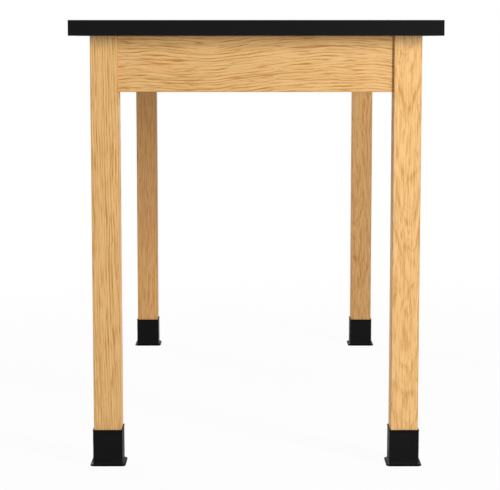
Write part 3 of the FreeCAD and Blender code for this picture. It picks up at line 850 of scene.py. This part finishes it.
# soft moulded unevenness on the sleeve's outside, none at the flange, the rim or the bore
def rippled(point, normal, halfBore, low, high):
    look = bootLook
    if not outside(point, halfBore) or not low < point.z < high:
        return point
    fade = min(1.0, (point.z - low) / look["rippleFade"], (high - point.z) / look["rippleFade"])
    swell = sum(strength * noise.noise(point * pace) for pace, strength in look["ripples"])
    return point + normal * swell * look["ripple"] * fade


def makeBoots():
    low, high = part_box("leg_boot_front_left")
    halfFlange = (high.x - low.x) / 2
    halfBore = halfFlange - bootLook["flangeReach"] - bootLook["wall"]
    rings, sleeveLow, sleeveHigh = bootRings(halfFlange, high.z)
    shape, floorLoop, boreLoop = squareStack(rings, bootLook["cornerSegments"], bootLook["sideCuts"])
    bmesh.ops.bridge_loops(shape, edges=floorLoop + boreLoop)
    bmesh.ops.recalc_face_normals(shape, faces=shape.faces)
    for face in shape.faces:
        centre = face.calc_center_median()
        # below this height the outside takes the second finish, whose darker colour is painted shade for the
        # contact shadow at the floor
        face.material_index = int(outside(centre, halfBore) and centre.z < bootLook["footShadeTo"])
    moved = [rippled(point.co, point.normal, halfBore, sleeveLow, sleeveHigh) for point in shape.verts]
    for point, place in zip(shape.verts, moved):
        point.co = place
    placeAtLegs("vinyl_boot", shape, ["vinyl", "shadedVinylFoot"], "leg_boot", "boot_vinyl", "leg_boot",
                sharpAngle=50.0)


# Levellers: a moulded pad with wear rings underneath, a pressed steel foot, and a threaded stem
levellerLook = {
    "padRadius": 0.01905,
    "padThickness": 0.0030,
    "padHeight": 0.0044,
    "padRound": [(0.0010, 0.0), (0.0003, 0.0003), (0.0, 0.0011)],  # inset and height at its foot
    "wearRings": (0.0045, 0.0085, 0.0125),
    "wearRingWidth": 0.0018,
    "wearRingDepth": 0.0005,
    "pocketRadius": 0.01775,
    "footRadius": 0.01765,
    "footRim": 0.0010,
    "footDome": [(0.86, 0.60), (0.70, 0.86)],  # shares of its radius and of its rise
    "shoulderRadius": 0.0100,
    "shoulderEase": 0.0008,
    "shoulderDrop": 0.0001,
    "footTop": 0.0066,
    "neckRadius": 0.0040,
    "holeRadius": 0.00408,
    "socketRadius": 0.00708,
    "socketTop": 0.00468,
    "rivetRadius": 0.0070,
    "rivetTop": 0.0046,
    "acrossFlats": 0.0143,
    "hexTop": 0.0112,
    "hexChamfer": 0.0067,
    "threadDiameter": 0.009525,
    "threadPitch": 0.0015875,
    "threadDepth": 0.00085,
    "threadOverlap": 0.0002,
    "stemTop": 0.0562,
    "stemChamfer": 0.0009,
    "ease": 0.0004,
    "smallEase": 0.0003,
    "turningSteps": 48,
    "hexSteps": 36,
}


def makePads():
    look = levellerLook
    edge = look["padRadius"]
    top = look["padHeight"]
    deck = look["padThickness"]
    pocket = look["pocketRadius"]
    ease = look["ease"]
    width = look["wearRingWidth"]
    depth = look["wearRingDepth"]
    outline = [(0.0, 0.0)]
    for ring in look["wearRings"]:
        outline += [(ring, 0.0), (ring + ease, depth), (ring + width - ease, depth), (ring + width, 0.0)]
    outline += [(edge - inset, height) for inset, height in look["padRound"]]
    outline += [(edge, top - ease), (edge - ease, top), (pocket + look["smallEase"], top),
                (pocket, top - look["smallEase"]), (pocket, deck), (0.0, deck)]
    shape = turned(outline, look["turningSteps"])
    placeAtLegs("nylon_pad", shape, ["nylon"], "leveller_foot", "pad_plastic", "leveller_pad")


def makeFeet():
    look = levellerLook
    low = look["padThickness"]
    top = look["footTop"]
    edge = look["footRadius"]
    rim = low + look["footRim"]
    ease = look["ease"]
    hole = look["holeRadius"]
    outline = [(look["socketRadius"], low), (edge - ease, low), (edge, low + ease), (edge, rim),
               (edge - ease, rim + ease)]
    outline += [(edge * reach, low + (top - low) * share) for reach, share in look["footDome"]]
    outline += [(look["shoulderRadius"], top - look["shoulderDrop"]),
                (look["shoulderRadius"] - look["shoulderEase"], top), (hole + look["smallEase"], top),
                (hole, top - look["smallEase"]), (hole, look["socketTop"]),
                (look["socketRadius"], look["socketTop"])]
    shape = turned(outline, look["turningSteps"])
    placeAtLegs("pressed_foot", shape, ["leveller"], "leveller_foot", "leveller_steel", "leveller_foot")


def makeStems():
    look = levellerLook
    low = look["padThickness"]
    seat = look["footTop"]
    rivet = look["rivetRadius"]
    rivetTop = look["rivetTop"]
    flats = look["acrossFlats"]
    chamfer = look["hexChamfer"]
    ease = look["ease"]
    nip = look["smallEase"]
    rings = [("round", rivet - ease, low), ("round", rivet, low + ease), ("round", rivet, rivetTop - nip),
             ("round", rivet - nip, rivetTop), ("round", look["neckRadius"], rivetTop),
             ("round", look["neckRadius"], seat), ("round", chamfer, seat),
             ("hex", flats, seat, chamfer, -1), ("hex", flats, look["hexTop"], chamfer, 1),
             ("round", chamfer, look["hexTop"])]
    shape, lowLoop, highLoop = ringStack(rings, look["hexSteps"])
    bmesh.ops.holes_fill(shape, edges=lowLoop + highLoop, sides=0)
    chamferLow = look["stemTop"] - look["stemChamfer"]
    append(shape, threaded(look["threadDiameter"], look["threadPitch"], look["threadDepth"],
                           look["hexTop"] - look["threadOverlap"], look["stemTop"],
                           lambda height: look["threadDiameter"] / 2 - max(0.0, height - chamferLow)))
    placeAtLegs("leveller_screw", shape, ["leveller"], "leveller_stem", "leveller_steel", "leveller_stem",
                sharpAngle=28.0)


# Hanger bolts with their washers and nuts. Distances run inwards along each corner's diagonal,
# from the frame's outer corner.
boltLook = {
    "diameter": 0.00794,
    "start": 0.03592,
    "startBlunt": 0.0003,
    "pointLength": 0.0060,
    "woodThreadEnd": 0.0660,
    "machineStart": 0.0712,
    "end": 0.09802,
    "endChamfer": 0.0008,
    "woodPitch": 0.0028,
    "woodDepth": 0.0010,
    "machinePitch": 0.00141,
    "machineDepth": 0.00078,
    "threadSteps": 16,
    "shankSteps": 24,
    "shankEase": 0.0004,
    "shankNeck": (0.0003, 0.0002),  # into the wood thread: how thin and how far
    "halfSpacing": 0.020,
    "washerLow": 0.08362,
    "washerHigh": 0.08522,
    "washerRadius": 0.0095,
    "washerHole": 0.00447,
    "washerEase": 0.00025,
    "washerSteps": 40,
    "nutHigh": 0.09202,
    "nutFlats": 0.0127,
    "nutChamfer": 0.0060,
    "nutBore": 0.00403,
    "nutBoreEase": 0.0005,
    "nutSteps": 36,
}


def boltMatrices():
    for corner, (sideX, sideY) in corners.items():
        low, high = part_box("leg_" + corner)
        bracketLow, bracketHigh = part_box("corner_bracket_" + corner)
        direction = Vector((-sideX, -sideY, 0.0)).normalized()
        for side in (-1, 1):
            height = (bracketLow.z + bracketHigh.z) / 2 + side * boltLook["halfSpacing"]
            place = Vector((low.x if sideX < 0 else high.x, low.y if sideY < 0 else high.y, height))
            yield Matrix.Translation(place) @ direction.to_track_quat("Z", "Y").to_matrix().to_4x4()


def boltShape():
    look = boltLook
    radius = look["diameter"] / 2
    neckInset, neckReach = look["shankNeck"]
    shape = bmesh.new()
    append(shape, threaded(look["diameter"], look["woodPitch"], look["woodDepth"],
                           look["start"] + look["startBlunt"], look["woodThreadEnd"],
                           lambda reach: radius * (reach - look["start"]) / look["pointLength"],
                           steps=look["threadSteps"]))
    shank, lowLoop, highLoop = ringStack([
        ("round", radius - neckInset, look["woodThreadEnd"] - neckReach),
        ("round", radius, look["woodThreadEnd"]),
        ("round", radius, look["machineStart"]),
        ("round", radius - look["shankEase"], look["machineStart"] + look["shankEase"])], look["shankSteps"])
    bmesh.ops.holes_fill(shank, edges=lowLoop + highLoop, sides=0)
    append(shape, shank)
    chamferLow = look["end"] - look["endChamfer"]
    append(shape, threaded(look["diameter"], look["machinePitch"], look["machineDepth"],
                           look["machineStart"], look["end"],
                           lambda reach: radius - max(0.0, reach - chamferLow), steps=look["threadSteps"]))
    return shape


def nutShape():
    look = boltLook
    low = look["washerHigh"]
    high = look["nutHigh"]
    bore = look["nutBore"]
    ease = look["nutBoreEase"]
    flats = look["nutFlats"]
    chamfer = look["nutChamfer"]
    rings = [("round", bore, low + ease), ("round", bore + ease, low), ("round", chamfer, low),
             ("hex", flats, low, chamfer, -1), ("hex", flats, high, chamfer, 1), ("round", chamfer, high),
             ("round", bore + ease, high), ("round", bore, high - ease)]
    shape, lowLoop, highLoop = ringStack(rings, look["nutSteps"])
    bmesh.ops.bridge_loops(shape, edges=lowLoop + highLoop)
    return shape


def washerShape():
    look = boltLook
    low = look["washerLow"]
    high = look["washerHigh"]
    hole = look["washerHole"]
    rim = look["washerRadius"]
    ease = look["washerEase"]
    return turned([(hole, low), (rim - ease, low), (rim, low + ease), (rim, high - ease), (rim - ease, high),
                   (hole + ease, high), (hole, high - ease)], look["washerSteps"])


def makeFastenerGroup(name, shape, node):
    whole = bmesh.new()
    append(whole, shape, list(boltMatrices()))
    addPiece(name, whole, ["fastener"], "root", "fastener_steel", node, sharpAngle=28.0)


makeBoots()
makePads()
makeFeet()
makeStems()
print("boots and levellers made")
makeFastenerGroup("threaded_hanger_bolts", boltShape(), "hanger_bolts")
makeFastenerGroup("chamfered_nuts", nutShape(), "bolt_nuts")
makeFastenerGroup("flat_washers", washerShape(), "bolt_washers")
print("bolts, nuts and washers made")


# Floor, light and camera
stageLook = {
    "floorHalf": 14.0,
    "floorTone": 0.82,
    "shadowShare": 0.045,
    "shadowFade": (0.9, 2.6),
    "worldStrength": 0.25,
    "key": {"place": (2.95, -3.45, 2.1), "aim": (0.0, -0.7, 0.75),
            "power": 190.0, "width": 0.6, "height": 3.4},
    "back": {"place": (-2.6, 3.4, 1.9), "aim": (0.0, 0.5, 0.5),
             "power": 120.0, "width": 1.8, "height": 1.8},
}
cameraLook = {
    "place": (-0.0124, -4.24629, 0.89058),
    "tiltDown": 0.120326,
    "focalPixels": 1710.6,
    "framePixels": 500,
    "sensor": 36.0,
    "farthest": 60.0,
}


# The camera sees white with a little of the table's shadow in it, the other rays see a pale matt
# floor, and from below the floor is clear.
def makeFloor():
    shape = bmesh.new()
    bmesh.ops.create_grid(shape, x_segments=1, y_segments=1, size=stageLook["floorHalf"])
    mesh = bpy.data.meshes.new("floor")
    shape.to_mesh(mesh)
    shape.free()
    floor = bpy.data.objects.new("floor", mesh)
    scene.collection.objects.link(floor)
    material, start, place = startMaterial("pale_floor")
    tone = stageLook["floorTone"]
    matt = start.add("ShaderNodeBsdfDiffuse", {}, {"Color": colour(tone, tone, tone)})
    white = start.add("ShaderNodeEmission", {}, {"Strength": 1.0})
    clear = start.add("ShaderNodeBsdfTransparent")
    path = start.add("ShaderNodeLightPath", out="Is Camera Ray")
    behind = start.add("ShaderNodeNewGeometry", out="Backfacing")
    distance = place.vectorMath("LENGTH", out="Value")
    whiteShare = 1.0 - stageLook["shadowShare"] * (1.0 - distance.rise(*stageLook["shadowFade"]))
    lit = start.add("ShaderNodeMixShader", {}, {0: whiteShare * path, 1: matt, 2: white})
    shown = start.add("ShaderNodeMixShader", {}, {0: path * behind, 1: lit, 2: clear})
    start.add("ShaderNodeOutputMaterial", {}, {"Surface": shown})
    mesh.materials.append(material)


# white to the camera and in reflections, and dimmer as light on the table
def makeWorld():
    world = bpy.data.worlds.new("studio")
    world.use_nodes = True
    world.node_tree.nodes.clear()
    scene.world = world
    start = Wire(world.node_tree)
    kinds = start.add("ShaderNodeLightPath").socket.node.outputs
    seen = Wire(start.tree, kinds["Is Camera Ray"])
    for kind in ("Is Glossy Ray", "Is Transmission Ray"):
        seen = seen.higher(Wire(start.tree, kinds[kind]))
    strength = stageLook["worldStrength"] + seen * (1 - stageLook["worldStrength"])
    glow = start.add("ShaderNodeBackground", {}, {"Color": colour(1, 1, 1), "Strength": strength})
    start.add("ShaderNodeOutputWorld", {}, {"Surface": glow})


def makeLamp(name):
    look = stageLook[name]
    lamp = bpy.data.lights.new(name, "AREA")
    lamp.energy = look["power"]
    lamp.shape = "RECTANGLE"
    lamp.size = look["width"]
    lamp.size_y = look["height"]
    holder = bpy.data.objects.new(name, lamp)
    scene.collection.objects.link(holder)
    place = Vector(look["place"])
    holder.location = place
    holder.rotation_euler = (Vector(look["aim"]) - place).to_track_quat("-Z", "Y").to_euler()


def makeCamera():
    lens = bpy.data.cameras.new("camera")
    lens.sensor_width = cameraLook["sensor"]
    lens.lens = cameraLook["focalPixels"] / cameraLook["framePixels"] * cameraLook["sensor"]
    lens.clip_end = cameraLook["farthest"]
    camera = bpy.data.objects.new("camera", lens)
    scene.collection.objects.link(camera)
    camera.location = cameraLook["place"]
    camera.rotation_euler = (math.pi / 2 - cameraLook["tiltDown"], 0.0, 0.0)
    scene.camera = camera


makeFloor()
makeWorld()
makeLamp("key")
makeLamp("back")
makeCamera()
scene.view_settings.view_transform = "Standard"
print("stage, light and camera set")
